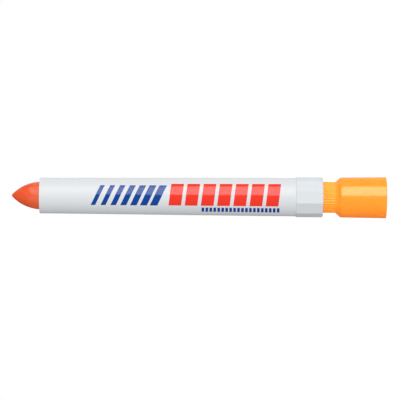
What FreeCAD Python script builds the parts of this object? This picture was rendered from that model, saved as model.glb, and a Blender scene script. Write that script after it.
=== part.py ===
import FreeCAD, Part
import math
import os

import Sketcher

# Twist-up solid paint marker, standing on the open end of its knob, with the paint tip up.
# Millimetres. The axis is Z, and the origin is on the axis in the plane of the knob's open rim.
# The pieces are the barrel, the collar pressed into its rear, the knob, the spindle that the knob turns,
# the seal ring on the knob's journal, the drive nut that the spindle pushes along, the plunger on the
# nut and the paint stick in the plunger's cup. The stick stands out of the mouth by the tip reach.

SIZES = [
    ("grip_length", 19.5, "smooth grip of the knob, from its open rim to the shoulder"),
    ("grip_proud", 0.3, "how far the grip stands out past the barrel at the shoulder"),
    ("grip_flare", 0.25, "how far the grip widens from there to its rim"),
    ("grip_wall", 1.2, "wall of the grip round its hollow"),
    ("rim_round", 0.15, "rounding of the open rim's outer edge"),
    ("shoulder_length", 2.1, "cone between the grip and the neck"),
    ("shoulder_round", 0.6, "rounding where the grip meets the shoulder"),
    ("neck_length", 5.5, "ribbed neck that shows between the shoulder and the collar"),
    ("neck_step", 1.6, "how far the crests of the neck's ribs lie inside the barrel's rear edge"),
    ("neck_wall", 1.4, "wall of the neck under the crests of its ribs"),
    ("rib_count", 36, "ribs round the neck"),
    ("rib_depth", 0.3, "depth of the grooves between the ribs"),
    ("rib_gap", 0.95, "width of those grooves at the crests"),
    ("collar_length", 11.5, "faceted part of the collar"),
    ("collar_facets", 10, "flats round the collar"),
    ("collar_proud", 0.375, "how far the collar's corners stand out past the barrel"),
    ("collar_corner_round", 0.5, "rounding of the collar's corners"),
    ("collar_edge", 0.35, "bevel round the collar's rear edge"),
    ("plug_length", 5.0, "plain plug of the collar, pressed into the barrel"),
    ("plug_step", 0.65, "how far the plug's seat is cut back from the barrel's bore"),
    ("recess_depth", 2.2, "depth of the collar's recess round the end of the neck"),
    ("recess_clearance", 0.2, "radial gap between the neck and that recess"),
    ("running_clearance", 0.08, "radial gap between the knob's journal and the collar's bore"),
    ("journal_wall", 2.05, "wall of the journal at the flats of its hole"),
    ("axial_play", 0.1, "end gap of the knob in the collar, each way"),
    ("web_thickness", 3.0, "web behind the journal, which the spindle's head holds"),
    ("tail_gap", 0.05, "gap at each flat of the spindle's hexagonal tail"),
    ("head_length", 2.4, "snap head of the spindle"),
    ("head_catch", 0.37, "how far the snap head stands out past the tail's corners"),
    ("head_taper", 1.1, "how much the head's radius falls to its end"),
    ("head_land", 0.7, "straight part of the snap head, under its cone"),
    ("snap_slot_width", 1.2, "slot that lets the snap head close up"),
    ("snap_slot_length", 9.0, "depth of that slot"),
    ("seal_section", 1.0, "thickness of the seal ring"),
    ("seal_gap", 0.03, "gap between the seal ring and the collar's bore"),
    ("seal_groove_width", 1.2, "groove of the seal ring"),
    ("seal_setback", 4.0, "middle of that groove behind the journal's front end"),
    ("barrel_length", 109.7, "barrel from the collar to the mouth"),
    ("barrel_rear_wall", 1.4, "wall of the barrel round the collar's plug"),
    ("barrel_front_wall", 1.45, "wall of the barrel along the straight seat of a cap"),
    ("cap_seat_length", 8.5, "straight seat of a cap, behind the mouth"),
    ("mouth_round", 0.15, "rounding of the mouth's outer edge"),
    ("mouth_bevel", 0.3, "bevel of the mouth's inner edge"),
    ("stick_diameter", 11.9, "paint stick"),
    ("stick_clearance", 0.25, "radial gap between the stick and the barrel's bore"),
    ("tip_reach", 12.0, "how far the tip stands out of the mouth"),
    ("ogive_radius", 18.4, "arc of the tip's side"),
    ("nose_radius", 1.25, "rounding of the tip's end"),
    ("retract_travel", 14.0, "travel of the stick back from here, which draws the tip into the mouth"),
    ("advance_travel", 26.0, "travel of the stick forward from here"),
    ("stop_gap", 0.3, "gap left at each end of the travel"),
    ("flange_clearance", 0.3, "radial gap round the spindle's flange"),
    ("flange_seat", 0.92, "width of the ring on which the flange bears on the collar's plug"),
    ("flange_length", 2.0, "thickness of that flange"),
    ("thread_lead", 4.0, "travel of the nut in one turn of the knob"),
    ("thread_depth", 0.8, "height of the ridge over the spindle's core"),
    ("thread_crest", 1.1, "width of the ridge at its crest"),
    ("thread_foot", 1.9, "width of the ridge at the core"),
    ("thread_clearance", 0.2, "gap between the spindle's thread and the nut's, on every side"),
    ("thread_relief", 1.4, "middle of the thread's first turn in front of the flange"),
    ("spindle_bevel", 0.6, "bevel of the spindle's front end"),
    ("nut_clearance", 0.2, "radial gap round the nut's head and the plunger's cup"),
    ("nut_head_length", 4.0, "head of the nut, behind the plunger"),
    ("nut_plug_length", 4.0, "plug of the nut, pressed into the plunger"),
    ("nut_wall", 1.1, "wall of that plug round the thread"),
    ("key_count", 2, "keys on the nut's head and keyways in the barrel"),
    ("key_width", 2.0, "width of a key"),
    ("key_height", 0.85, "how far a key stands out of the nut's head"),
    ("key_clearance", 0.1, "gap round a key in its keyway"),
    ("tube_clearance", 0.6, "radial gap between the plunger's tube and the barrel"),
    ("tube_wall", 0.8, "wall of the plunger's tube"),
    ("cup_floor", 1.5, "floor of the plunger's cup, which pushes the stick"),
    ("cup_depth", 9.0, "depth of the cup round the stick's tail"),
    ("cup_wall", 0.7, "wall of the cup"),
    ("cup_gap", 0.05, "radial gap between the stick's tail and the cup"),
    ("cup_slots", 4, "slots that let the cup spring open round the tail"),
    ("cup_slot_width", 1.2, "width of those slots"),
    ("cup_slot_length", 7.0, "length of those slots, from the rim"),
    ("plunger_gap", 0.5, "gap between the spindle's end and the cup's floor when it is drawn back"),
]

PLACES = [
    ("neck_foot", "sizes.grip_length + sizes.shoulder_length", "shoulder meets the neck"),
    ("collar_rear", "neck_foot + sizes.neck_length", "collar's rear face"),
    ("collar_front", "collar_rear + sizes.collar_length", "barrel's rear face"),
    ("mouth", "collar_front + sizes.barrel_length", "barrel's mouth"),
    ("tip", "mouth + sizes.tip_reach", "end of the paint tip"),
    ("cap_seat", "mouth - sizes.cap_seat_length", "rear of the cap's seat"),
    ("plug_front", "collar_front + sizes.plug_length", "front face of the collar's plug"),
    ("recess_floor", "collar_rear + sizes.recess_depth", "floor of the collar's recess"),
    ("neck_front", "recess_floor - sizes.axial_play", "front face of the neck"),
    ("journal_front", "plug_front + sizes.axial_play", "front face of the journal"),
    ("seal_middle", "journal_front - sizes.seal_setback", "middle of the seal ring"),
    ("flange_front", "journal_front + sizes.flange_length", "front face of the spindle's flange"),
    ("web_rear", "neck_front - sizes.web_thickness", "rear face of the web"),
    ("head_rear", "web_rear - sizes.head_length", "rear end of the snap head"),
    ("nut_rear", "flange_front + sizes.stop_gap + sizes.retract_travel", "rear face of the nut"),
    ("nut_step", "nut_rear + sizes.nut_head_length", "nut's head meets the plunger"),
    ("nut_front", "nut_step + sizes.nut_plug_length", "front face of the nut"),
    ("spindle_front", "nut_front + sizes.advance_travel", "front end of the spindle"),
    ("keyway_front", "nut_step + sizes.advance_travel + sizes.stop_gap", "end of the keyways"),
    ("cup_back", "spindle_front + sizes.retract_travel + sizes.plunger_gap", "back of the cup's floor"),
    ("stick_rear", "cup_back + sizes.cup_floor", "rear face of the stick"),
    ("cup_rim", "stick_rear + sizes.cup_depth", "rim of the cup"),
    ("thread_start", "flange_front + sizes.thread_relief", "middle of the thread's first turn"),
    ("turns_to_nut", "floor((nut_rear - thread_start) / sizes.thread_lead) - 1", "whole turns"),
    ("nut_thread_start", "thread_start + turns_to_nut * sizes.thread_lead", "in step, behind the nut"),
    ("bore_radius", "sizes.stick_diameter / 2 + sizes.stick_clearance", "barrel's bore"),
    ("plug_radius", "bore_radius + sizes.plug_step", "collar's plug and its seat"),
    ("barrel_rear_radius", "plug_radius + sizes.barrel_rear_wall", "barrel at the collar"),
    ("barrel_front_radius", "bore_radius + sizes.barrel_front_wall", "seat of a cap"),
    ("corner_radius", "barrel_rear_radius + sizes.collar_proud", "collar over its corners"),
    ("grip_front_radius", "barrel_rear_radius + sizes.grip_proud", "grip at the shoulder"),
    ("grip_rear_radius", "grip_front_radius + sizes.grip_flare", "grip at its rim"),
    ("neck_radius", "barrel_rear_radius - sizes.neck_step", "neck over its ribs"),
    ("neck_bore_radius", "neck_radius - sizes.neck_wall", "hollow of the neck"),
    ("recess_radius", "neck_radius + sizes.recess_clearance", "collar's recess"),
    ("flange_radius", "bore_radius - sizes.flange_clearance", "spindle's flange"),
    ("collar_bore_radius", "flange_radius - sizes.flange_seat", "collar's bore"),
    ("journal_radius", "collar_bore_radius - sizes.running_clearance", "knob's journal"),
    ("seal_floor_radius", "collar_bore_radius - sizes.seal_gap - sizes.seal_section", "seal's groove"),
    ("hole_flat_radius", "journal_radius - sizes.journal_wall", "flats of the journal's hole"),
    ("hole_corner_radius", "hole_flat_radius / cos(30 deg)", "corners of that hole"),
    ("tail_corner_radius", "(hole_flat_radius - sizes.tail_gap) / cos(30 deg)", "corners of the tail"),
    ("head_radius", "tail_corner_radius + sizes.head_catch", "snap head at its shoulder"),
    ("head_tip_radius", "head_radius - sizes.head_taper", "snap head at its end"),
    ("nut_head_radius", "bore_radius - sizes.nut_clearance", "head of the nut, and the cup"),
    ("key_tip_radius", "nut_head_radius + sizes.key_height", "outer faces of the keys"),
    ("tube_radius", "bore_radius - sizes.tube_clearance", "plunger's tube"),
    ("tube_bore_radius", "tube_radius - sizes.tube_wall", "hollow of the tube, and the nut's plug"),
    ("thread_radius", "tube_bore_radius - sizes.nut_wall - sizes.thread_clearance", "crest of the ridge"),
    ("core_radius", "thread_radius - sizes.thread_depth", "spindle between the ridges"),
    ("nut_bore_radius", "core_radius + sizes.thread_clearance", "nut's bore"),
    ("cup_bore_radius", "nut_head_radius - sizes.cup_wall", "hollow of the cup"),
    ("stick_tail_radius", "cup_bore_radius - sizes.cup_gap", "tail of the stick"),
]

ON_AXIS = "0"
PAD = "PartDesign::Pad"
POCKET = "PartDesign::Pocket"
REVOLUTION = "PartDesign::Revolution"
GROOVE = "PartDesign::Groove"
RIDGE = "PartDesign::AdditiveHelix"
THREAD_CUT = "PartDesign::SubtractiveHelix"
FILLET = "PartDesign::Fillet"
CHAMFER = "PartDesign::Chamfer"
CUTS = (POCKET, GROOVE, THREAD_CUT)
HEXAGON_SIDES = 6
MATCH = 1e-4


def fill_sheet(doc, name, rows, as_cell):
    """A sheet with one named value to a row: its name, the value and what it means."""
    sheet = doc.addObject("Spreadsheet::Sheet", name)
    for row, (alias, content, meaning) in enumerate(rows, start=1):
        sheet.set(f"A{row}", alias)
        sheet.set(f"B{row}", as_cell(content))
        sheet.set(f"C{row}", meaning)
        sheet.setAlias(f"B{row}", alias)
    doc.recompute()


def new_body(doc, name):
    """A sub-part that carries its piece's name."""
    body = doc.addObject("PartDesign::Body", name)
    body.Label = name
    return body


def value_of(item, expression):
    """The number that an expression gives."""
    return float(item.evalExpression(expression))


def origin_feature(body, role):
    """One of the body's own origin planes or axes."""
    return next(item for item in body.Origin.OriginFeatures if item.Role == role)


def new_sketch(body, name, role="XZ_Plane", lift=None):
    """A sketch on one of the body's origin planes, moved along its normal where lift is given."""
    sketch = body.newObject("Sketcher::SketchObject", name)
    sketch.AttachmentSupport = [(origin_feature(body, role), "")]
    sketch.MapMode = "FlatFace"
    if lift:
        sketch.setExpression("AttachmentOffset.Base.z", lift)
    body.Document.recompute()
    return sketch


def bind(sketch, constraint, name, expression):
    """Adds a named constraint whose value follows an expression."""
    index = sketch.addConstraint(constraint)
    sketch.renameConstraint(index, name)
    sketch.setExpression(f"Constraints.{name}", expression)


def pin(sketch, index, end, across, up):
    """Holds one end of an edge at its two offsets from the origin, both given as expressions."""
    for kind, expression, axis in (("X", across, -2), ("Y", up, -1)):
        if expression == ON_AXIS:
            sketch.addConstraint(Sketcher.Constraint("PointOnObject", index, end, axis))
        else:
            offset = value_of(sketch, expression)
            distance = Sketcher.Constraint(f"Distance{kind}", -1, 1, index, end, offset)
            bind(sketch, distance, f"offset_{kind}_{index}_{end}", expression)


def draw_polygon(sketch, corners):
    """A closed outline of straight edges, with every corner held by its two expressions."""
    points = [FreeCAD.Vector(value_of(sketch, a), value_of(sketch, b), 0) for a, b in corners]
    following = points[1:] + points[:1]
    for start, end in zip(points, following):
        sketch.addGeometry(Part.LineSegment(start, end), False)
    for index in range(len(points)):
        sketch.addConstraint(Sketcher.Constraint("Coincident", index, 2, (index + 1) % len(points), 1))
    for index, (across, up) in enumerate(corners):
        pin(sketch, index, 1, across, up)


def draw_slot(sketch, near, far, width):
    """A rectangle along the first axis, from near to far, with half its width on each side."""
    side = f"({width}) / 2"
    draw_polygon(sketch, [(near, f"-{side}"), (far, f"-{side}"), (far, side), (near, side)])


def draw_circle(sketch, radius, across=ON_AXIS, up=ON_AXIS):
    """A circle whose radius and centre follow expressions."""
    centre = FreeCAD.Vector(value_of(sketch, across), value_of(sketch, up), 0)
    circle = Part.Circle(centre, FreeCAD.Vector(0, 0, 1), value_of(sketch, radius))
    index = sketch.addGeometry(circle, False)
    bind(sketch, Sketcher.Constraint("Radius", index, circle.Radius), "radius", radius)
    pin(sketch, index, 3, across, up)


def draw_regular_polygon(sketch, sides, corner_radius):
    """A regular polygon round the origin, with one corner on the first axis."""
    radius = value_of(sketch, corner_radius)
    angles = [2 * math.pi * side / sides for side in range(sides)]
    points = [FreeCAD.Vector(radius * math.cos(a), radius * math.sin(a), 0) for a in angles]
    for start, end in zip(points, points[1:] + points[:1]):
        sketch.addGeometry(Part.LineSegment(start, end), False)
    circle = Part.Circle(FreeCAD.Vector(0, 0, 0), FreeCAD.Vector(0, 0, 1), radius)
    rim = sketch.addGeometry(circle, True)
    pin(sketch, rim, 3, ON_AXIS, ON_AXIS)
    bind(sketch, Sketcher.Constraint("Radius", rim, radius), "corner_radius", corner_radius)
    for index in range(sides):
        sketch.addConstraint(Sketcher.Constraint("Coincident", index, 2, (index + 1) % sides, 1))
        sketch.addConstraint(Sketcher.Constraint("PointOnObject", index, 1, rim))
    for index in range(1, sides):
        sketch.addConstraint(Sketcher.Constraint("Equal", 0, index))
    sketch.addConstraint(Sketcher.Constraint("PointOnObject", 0, 1, -1))


def turn(body, sketch, name, kind=REVOLUTION):
    """Turns a half section once round Z, as a solid or as a cut."""
    turned = body.newObject(kind, name)
    turned.Profile = sketch
    turned.ReferenceAxis = (sketch, ["V_Axis"])
    turned.Angle = 360
    body.Document.recompute()
    return turned


def extrude(body, sketch, name, length, kind=PAD, backwards=False):
    """Pads a sketch along its normal or pockets it the other way, unless it runs backwards."""
    extruded = body.newObject(kind, name)
    extruded.Profile = sketch
    extruded.Reversed = backwards
    extruded.setExpression("Length", length)
    body.Document.recompute()
    return extruded


def repeat_round_axis(body, feature, name, count):
    """Repeats a feature evenly round the body's Z axis."""
    pattern = body.newObject("PartDesign::PolarPattern", name)
    pattern.Originals = [feature]
    pattern.Axis = (origin_feature(body, "Z_Axis"), [""])
    pattern.Angle = 360
    pattern.setExpression("Occurrences", count)
    body.Tip = pattern
    body.Document.recompute()
    return pattern


def wind(body, name, start, height, gap, kind):
    """Winds the section of the thread's ridge, grown by a gap, up a left-hand helix."""
    foot = f"(sizes.thread_foot / 2 + {gap})"
    crest = f"(sizes.thread_crest / 2 + {gap})"
    inner = "places.core_radius"
    outer = f"places.thread_radius + {gap}"
    section = new_sketch(body, f"{name}_section")
    draw_polygon(
        section,
        [
            (f"{inner} - sizes.thread_clearance", f"{start} - {foot}"),
            (inner, f"{start} - {foot}"),
            (outer, f"{start} - {crest}"),
            (outer, f"{start} + {crest}"),
            (inner, f"{start} + {foot}"),
            (f"{inner} - sizes.thread_clearance", f"{start} + {foot}"),
        ],
    )
    body.Document.recompute()
    helix = body.newObject(kind, name)
    helix.Profile = section
    helix.ReferenceAxis = (section, ["V_Axis"])
    helix.Mode = "pitch-height-angle"
    helix.LeftHanded = True
    helix.setExpression("Pitch", "sizes.thread_lead")
    helix.setExpression("Height", height)
    body.Document.recompute()
    return helix


def dress(body, base, name, edges, size, kind=FILLET):
    """Rounds or bevels edges of the body's last feature."""
    dressed = body.newObject(kind, name)
    dressed.Base = (base, edges)
    dressed.setExpression("Radius" if kind == FILLET else "Size", size)
    body.Tip = dressed
    body.Document.recompute()
    return dressed


def ring_edges(feature, height, radius):
    """Names of the circular edges round the axis at a height and a radius, both expressions."""
    level, size = value_of(feature, height), value_of(feature, radius)
    names = []
    for index, edge in enumerate(feature.Shape.Edges, start=1):
        if not isinstance(edge.Curve, Part.Circle):
            continue
        centre = edge.Curve.Center
        on_axis = math.hypot(centre.x, centre.y) < MATCH
        if on_axis and abs(centre.z - level) < MATCH and abs(edge.Curve.Radius - size) < MATCH:
            names.append(f"Edge{index}")
    return names


def corner_edges(feature, radius):
    """Names of the straight edges along Z at a radius."""
    size = value_of(feature, radius)
    names = []
    for index, edge in enumerate(feature.Shape.Edges, start=1):
        box = edge.BoundBox
        upright = isinstance(edge.Curve, Part.Line) and abs(box.ZLength - edge.Length) < MATCH
        if upright and abs(math.hypot(box.Center.x, box.Center.y) - size) < MATCH:
            names.append(f"Edge{index}")
    return names


def level_edges(feature, height):
    """Names of the edges that lie in the plane at a height."""
    level = value_of(feature, height)
    names = []
    for index, edge in enumerate(feature.Shape.Edges, start=1):
        if max(abs(edge.BoundBox.ZMin - level), abs(edge.BoundBox.ZMax - level)) < MATCH:
            names.append(f"Edge{index}")
    return names


def make_barrel(doc):
    """Tapered tube with a straight seat for a cap, a seat for the collar's plug, and keyways."""
    body = new_body(doc, "barrel")
    section = new_sketch(body, "barrel_section")
    draw_polygon(
        section,
        [
            ("places.plug_radius", "places.collar_front"),
            ("places.barrel_rear_radius", "places.collar_front"),
            ("places.barrel_front_radius", "places.cap_seat"),
            ("places.barrel_front_radius", "places.mouth"),
            ("places.bore_radius", "places.mouth"),
            ("places.bore_radius", "places.plug_front"),
            ("places.plug_radius", "places.plug_front"),
        ],
    )
    tube = turn(body, section, "barrel_tube")
    outer_edge = ring_edges(tube, "places.mouth", "places.barrel_front_radius")
    rounded = dress(body, tube, "mouth_round", outer_edge, "sizes.mouth_round")
    inner_edge = ring_edges(rounded, "places.mouth", "places.bore_radius")
    dress(body, rounded, "mouth_bevel", inner_edge, "sizes.mouth_bevel", CHAMFER)
    keyway_section = new_sketch(body, "keyway_section", "XY_Plane", "places.keyway_front")
    draw_slot(
        keyway_section,
        "places.bore_radius / 2",
        "places.key_tip_radius + sizes.key_clearance",
        "sizes.key_width + 2 * sizes.key_clearance",
    )
    keyway_length = "places.keyway_front - places.plug_front"
    keyway = extrude(body, keyway_section, "keyway", keyway_length, POCKET)
    repeat_round_axis(body, keyway, "keyways", "sizes.key_count")
    return body


def make_collar(doc):
    """Faceted collar with a plug for the barrel, a bore for the journal and a recess for the neck."""
    body = new_body(doc, "collar")
    flats = new_sketch(body, "collar_flats", "XY_Plane", "places.collar_rear")
    sides = int(value_of(flats, "sizes.collar_facets"))
    draw_regular_polygon(flats, sides, "places.corner_radius")
    block = extrude(body, flats, "collar_block", "sizes.collar_length")
    corners = corner_edges(block, "places.corner_radius")
    rounded = dress(body, block, "collar_corners", corners, "sizes.collar_corner_round")
    rear_edges = level_edges(rounded, "places.collar_rear")
    dress(body, rounded, "collar_edge", rear_edges, "sizes.collar_edge", CHAMFER)
    plug = new_sketch(body, "plug_section", "XY_Plane", "places.collar_front")
    draw_circle(plug, "places.plug_radius")
    extrude(body, plug, "plug", "sizes.plug_length")
    opening = new_sketch(body, "collar_bore_section")
    draw_polygon(
        opening,
        [
            (ON_AXIS, "places.collar_rear"),
            ("places.recess_radius", "places.collar_rear"),
            ("places.recess_radius", "places.recess_floor"),
            ("places.collar_bore_radius", "places.recess_floor"),
            ("places.collar_bore_radius", "places.plug_front"),
            (ON_AXIS, "places.plug_front"),
        ],
    )
    turn(body, opening, "collar_bore", GROOVE)
    return body


def make_knob(doc):
    """Hollow flared grip, cone, ribbed neck, and a journal with a hexagonal hole for the spindle."""
    body = new_body(doc, "knob")
    section = new_sketch(body, "knob_section")
    draw_polygon(
        section,
        [
            ("places.grip_rear_radius - sizes.grip_wall", ON_AXIS),
            ("places.grip_rear_radius", ON_AXIS),
            ("places.grip_front_radius", "sizes.grip_length"),
            ("places.neck_radius", "places.neck_foot"),
            ("places.neck_radius", "places.neck_front"),
            ("places.journal_radius", "places.neck_front"),
            ("places.journal_radius", "places.journal_front"),
            (ON_AXIS, "places.journal_front"),
            (ON_AXIS, "places.web_rear"),
            ("places.neck_bore_radius", "places.web_rear"),
            ("places.neck_bore_radius", "places.neck_foot"),
            ("places.grip_front_radius - sizes.grip_wall", "sizes.grip_length"),
        ],
    )
    solid = turn(body, section, "knob_solid")
    front_edge = ring_edges(solid, "sizes.grip_length", "places.grip_front_radius")
    shouldered = dress(body, solid, "shoulder_round", front_edge, "sizes.shoulder_round")
    rear_edge = ring_edges(shouldered, "0", "places.grip_rear_radius")
    dress(body, shouldered, "rim_round", rear_edge, "sizes.rim_round")
    hexagon = new_sketch(body, "hexagon_section", "XY_Plane", "places.journal_front")
    draw_regular_polygon(hexagon, HEXAGON_SIDES, "places.hole_corner_radius")
    extrude(body, hexagon, "hexagon_hole", "places.journal_front - places.web_rear", POCKET)
    seal = new_sketch(body, "seal_groove_section")
    low = "places.seal_middle - sizes.seal_groove_width / 2"
    high = "places.seal_middle + sizes.seal_groove_width / 2"
    floor, clear = "places.seal_floor_radius", "places.journal_radius + sizes.seal_section"
    draw_polygon(seal, [(floor, low), (clear, low), (clear, high), (floor, high)])
    turn(body, seal, "seal_groove", GROOVE)
    gap = new_sketch(body, "rib_gap_section", "XY_Plane", "places.neck_front")
    outside = "places.neck_radius + sizes.rib_depth"
    draw_polygon(
        gap,
        [
            ("places.neck_radius - sizes.rib_depth", ON_AXIS),
            (outside, "-sizes.rib_gap"),
            (outside, "sizes.rib_gap"),
        ],
    )
    first_gap = extrude(body, gap, "rib_gap", "places.neck_front - places.neck_foot", POCKET)
    repeat_round_axis(body, first_gap, "rib_gaps", "sizes.rib_count")
    return body


def make_spindle(doc):
    """Lead screw with a flange, a hexagonal tail through the knob and a slotted snap head."""
    body = new_body(doc, "spindle")
    section = new_sketch(body, "spindle_section")
    draw_polygon(
        section,
        [
            (ON_AXIS, "places.journal_front"),
            ("places.flange_radius", "places.journal_front"),
            ("places.flange_radius", "places.flange_front"),
            ("places.core_radius", "places.flange_front"),
            ("places.core_radius", "places.spindle_front"),
            (ON_AXIS, "places.spindle_front"),
        ],
    )
    core = turn(body, section, "spindle_core")
    front_edge = ring_edges(core, "places.spindle_front", "places.core_radius")
    dress(body, core, "spindle_bevel", front_edge, "sizes.spindle_bevel", CHAMFER)
    thread_height = "places.spindle_front - places.thread_start - sizes.thread_foot / 2"
    wind(body, "thread", "places.thread_start", thread_height, "0", RIDGE)
    tail = new_sketch(body, "tail_section", "XY_Plane", "places.journal_front")
    draw_regular_polygon(tail, HEXAGON_SIDES, "places.tail_corner_radius")
    extrude(body, tail, "tail", "places.journal_front - places.web_rear", PAD, backwards=True)
    head = new_sketch(body, "head_section")
    draw_polygon(
        head,
        [
            (ON_AXIS, "places.head_rear"),
            ("places.head_tip_radius", "places.head_rear"),
            ("places.head_radius", "places.web_rear - sizes.head_land"),
            ("places.head_radius", "places.web_rear"),
            (ON_AXIS, "places.web_rear"),
        ],
    )
    turn(body, head, "head")
    slot = new_sketch(body, "snap_slot_section", "XY_Plane", "places.head_rear")
    draw_slot(slot, "-2 * places.head_radius", "2 * places.head_radius", "sizes.snap_slot_width")
    extrude(body, slot, "snap_slot", "sizes.snap_slot_length", POCKET, backwards=True)
    return body


def make_seal_ring(doc):
    """Round rubber ring in the journal's groove."""
    body = new_body(doc, "seal_ring")
    section = new_sketch(body, "seal_section_circle")
    middle_radius = "places.seal_floor_radius + sizes.seal_section / 2"
    draw_circle(section, "sizes.seal_section / 2", middle_radius, "places.seal_middle")
    turn(body, section, "seal_ring_solid")
    return body


def make_drive_nut(doc):
    """Nut on the spindle: a keyed head that slides in the barrel, and a plug in the plunger."""
    body = new_body(doc, "drive_nut")
    section = new_sketch(body, "nut_section")
    draw_polygon(
        section,
        [
            ("places.nut_bore_radius", "places.nut_rear"),
            ("places.nut_head_radius", "places.nut_rear"),
            ("places.nut_head_radius", "places.nut_step"),
            ("places.tube_bore_radius", "places.nut_step"),
            ("places.tube_bore_radius", "places.nut_front"),
            ("places.nut_bore_radius", "places.nut_front"),
        ],
    )
    turn(body, section, "nut_solid")
    key_section = new_sketch(body, "key_section", "XY_Plane", "places.nut_rear")
    draw_slot(key_section, "places.tube_bore_radius", "places.key_tip_radius", "sizes.key_width")
    key = extrude(body, key_section, "key", "sizes.nut_head_length")
    repeat_round_axis(body, key, "keys", "sizes.key_count")
    thread_height = "places.nut_front - places.nut_thread_start + 2 * sizes.thread_lead"
    wind(body, "nut_thread", "places.nut_thread_start", thread_height, "sizes.thread_clearance", THREAD_CUT)
    return body


def make_plunger(doc):
    """Tube round the spindle, from the nut to the slotted cup that holds the stick."""
    body = new_body(doc, "plunger")
    section = new_sketch(body, "plunger_section")
    draw_polygon(
        section,
        [
            ("places.tube_bore_radius", "places.nut_step"),
            ("places.tube_radius", "places.nut_step"),
            ("places.tube_radius", "places.cup_back"),
            ("places.nut_head_radius", "places.stick_rear"),
            ("places.nut_head_radius", "places.cup_rim"),
            ("places.cup_bore_radius", "places.cup_rim"),
            ("places.cup_bore_radius", "places.stick_rear"),
            (ON_AXIS, "places.stick_rear"),
            (ON_AXIS, "places.cup_back"),
            ("places.tube_bore_radius", "places.cup_back"),
        ],
    )
    turn(body, section, "plunger_solid")
    slot_section = new_sketch(body, "cup_slot_section", "XY_Plane", "places.cup_rim")
    draw_slot(slot_section, "places.cup_bore_radius / 2", "places.bore_radius", "sizes.cup_slot_width")
    slot = extrude(body, slot_section, "cup_slot", "sizes.cup_slot_length", POCKET)
    repeat_round_axis(body, slot, "cup_slots", "sizes.cup_slots")
    return body


def draw_stick(sketch):
    """Half section of the stick: straight edges up its side, then two arcs tangent to them and each other."""
    side, tip = value_of(sketch, "sizes.stick_diameter / 2"), value_of(sketch, "places.tip")
    ogive, nose = value_of(sketch, "sizes.ogive_radius"), value_of(sketch, "sizes.nose_radius")
    nose_middle = tip - nose
    ogive_middle = nose_middle - math.sqrt((ogive - nose) ** 2 - (ogive - side) ** 2)
    lean = math.atan2(nose_middle - ogive_middle, ogive - side)
    corners = [
        (ON_AXIS, "places.stick_rear"),
        ("places.stick_tail_radius", "places.stick_rear"),
        ("places.stick_tail_radius", "places.cup_rim"),
        ("sizes.stick_diameter / 2", "places.cup_rim"),
    ]
    points = [FreeCAD.Vector(value_of(sketch, a), value_of(sketch, b), 0) for a, b in corners]
    points.append(FreeCAD.Vector(side, ogive_middle, 0))
    for start, end in zip(points, points[1:]):
        sketch.addGeometry(Part.LineSegment(start, end), False)
    side_line = len(points) - 2
    upright = FreeCAD.Vector(0, 0, 1)
    ogive_circle = Part.Circle(FreeCAD.Vector(side - ogive, ogive_middle, 0), upright, ogive)
    nose_circle = Part.Circle(FreeCAD.Vector(0, nose_middle, 0), upright, nose)
    ogive_arc = sketch.addGeometry(Part.ArcOfCircle(ogive_circle, 0, lean), False)
    nose_arc = sketch.addGeometry(Part.ArcOfCircle(nose_circle, lean, math.pi / 2), False)
    axis_line = sketch.addGeometry(Part.LineSegment(FreeCAD.Vector(0, tip, 0), points[0]), False)
    for index in range(side_line):
        sketch.addConstraint(Sketcher.Constraint("Coincident", index, 2, index + 1, 1))
    for index, (across, up) in enumerate(corners):
        pin(sketch, index, 1, across, up)
    sketch.addConstraint(Sketcher.Constraint("Vertical", side_line))
    sketch.addConstraint(Sketcher.Constraint("Tangent", side_line, 2, ogive_arc, 1))
    sketch.addConstraint(Sketcher.Constraint("Tangent", ogive_arc, 2, nose_arc, 1))
    sketch.addConstraint(Sketcher.Constraint("PointOnObject", nose_arc, 3, -2))
    sketch.addConstraint(Sketcher.Constraint("Coincident", nose_arc, 2, axis_line, 1))
    sketch.addConstraint(Sketcher.Constraint("Coincident", axis_line, 2, 0, 1))
    pin(sketch, axis_line, 1, ON_AXIS, "places.tip")
    bind(sketch, Sketcher.Constraint("Radius", ogive_arc, ogive), "ogive", "sizes.ogive_radius")
    bind(sketch, Sketcher.Constraint("Radius", nose_arc, nose), "nose", "sizes.nose_radius")


def make_paint_stick(doc):
    """Round stick of solid paint: a tail for the cup, a body and an ogive tip with a rounded end."""
    body = new_body(doc, "paint_stick")
    section = new_sketch(body, "stick_section")
    draw_stick(section)
    turn(body, section, "stick_solid")
    return body


def check(doc, bodies):
    """Stops if an object failed, a cut took nothing away, or a piece isn't one valid solid."""
    for item in doc.Objects:
        if "Invalid" in item.State or "Error" in item.State:
            raise RuntimeError(f"{item.Name} failed: {item.State}")
        if item.TypeId in CUTS and item.Shape.Volume >= item.BaseFeature.Shape.Volume - MATCH:
            raise RuntimeError(f"{item.Name} cuts nothing")
    for body in bodies:
        shape = body.Shape
        if shape.isNull() or not shape.isValid() or len(shape.Solids) != 1:
            raise RuntimeError(f"{body.Label} isn't one valid solid")


def main():
    """Builds the marker and writes one STEP file for each piece."""
    doc = FreeCAD.newDocument("paint_marker")
    fill_sheet(doc, "sizes", SIZES, str)
    fill_sheet(doc, "places", PLACES, lambda formula: f"={formula}")
    makers = (
        make_barrel,
        make_collar,
        make_knob,
        make_spindle,
        make_seal_ring,
        make_drive_nut,
        make_plunger,
        make_paint_stick,
    )
    bodies = [make(doc) for make in makers]
    doc.recompute()
    check(doc, bodies)
    os.makedirs("parts", exist_ok=True)
    for body in bodies:
        body.Shape.exportStep(f"parts/{body.Label}.step")
        box = body.Shape.BoundBox
        print(f"{body.Label}: {body.Shape.Volume:.1f} mm3, z {box.ZMin:.2f} to {box.ZMax:.2f}")


main()
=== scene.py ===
import logging
import math
from dataclasses import dataclass, replace
from enum import Enum
from typing import Callable, Optional, Sequence, Union

import bmesh
import bpy
import numpy as np
from mathutils import Matrix, Vector


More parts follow.
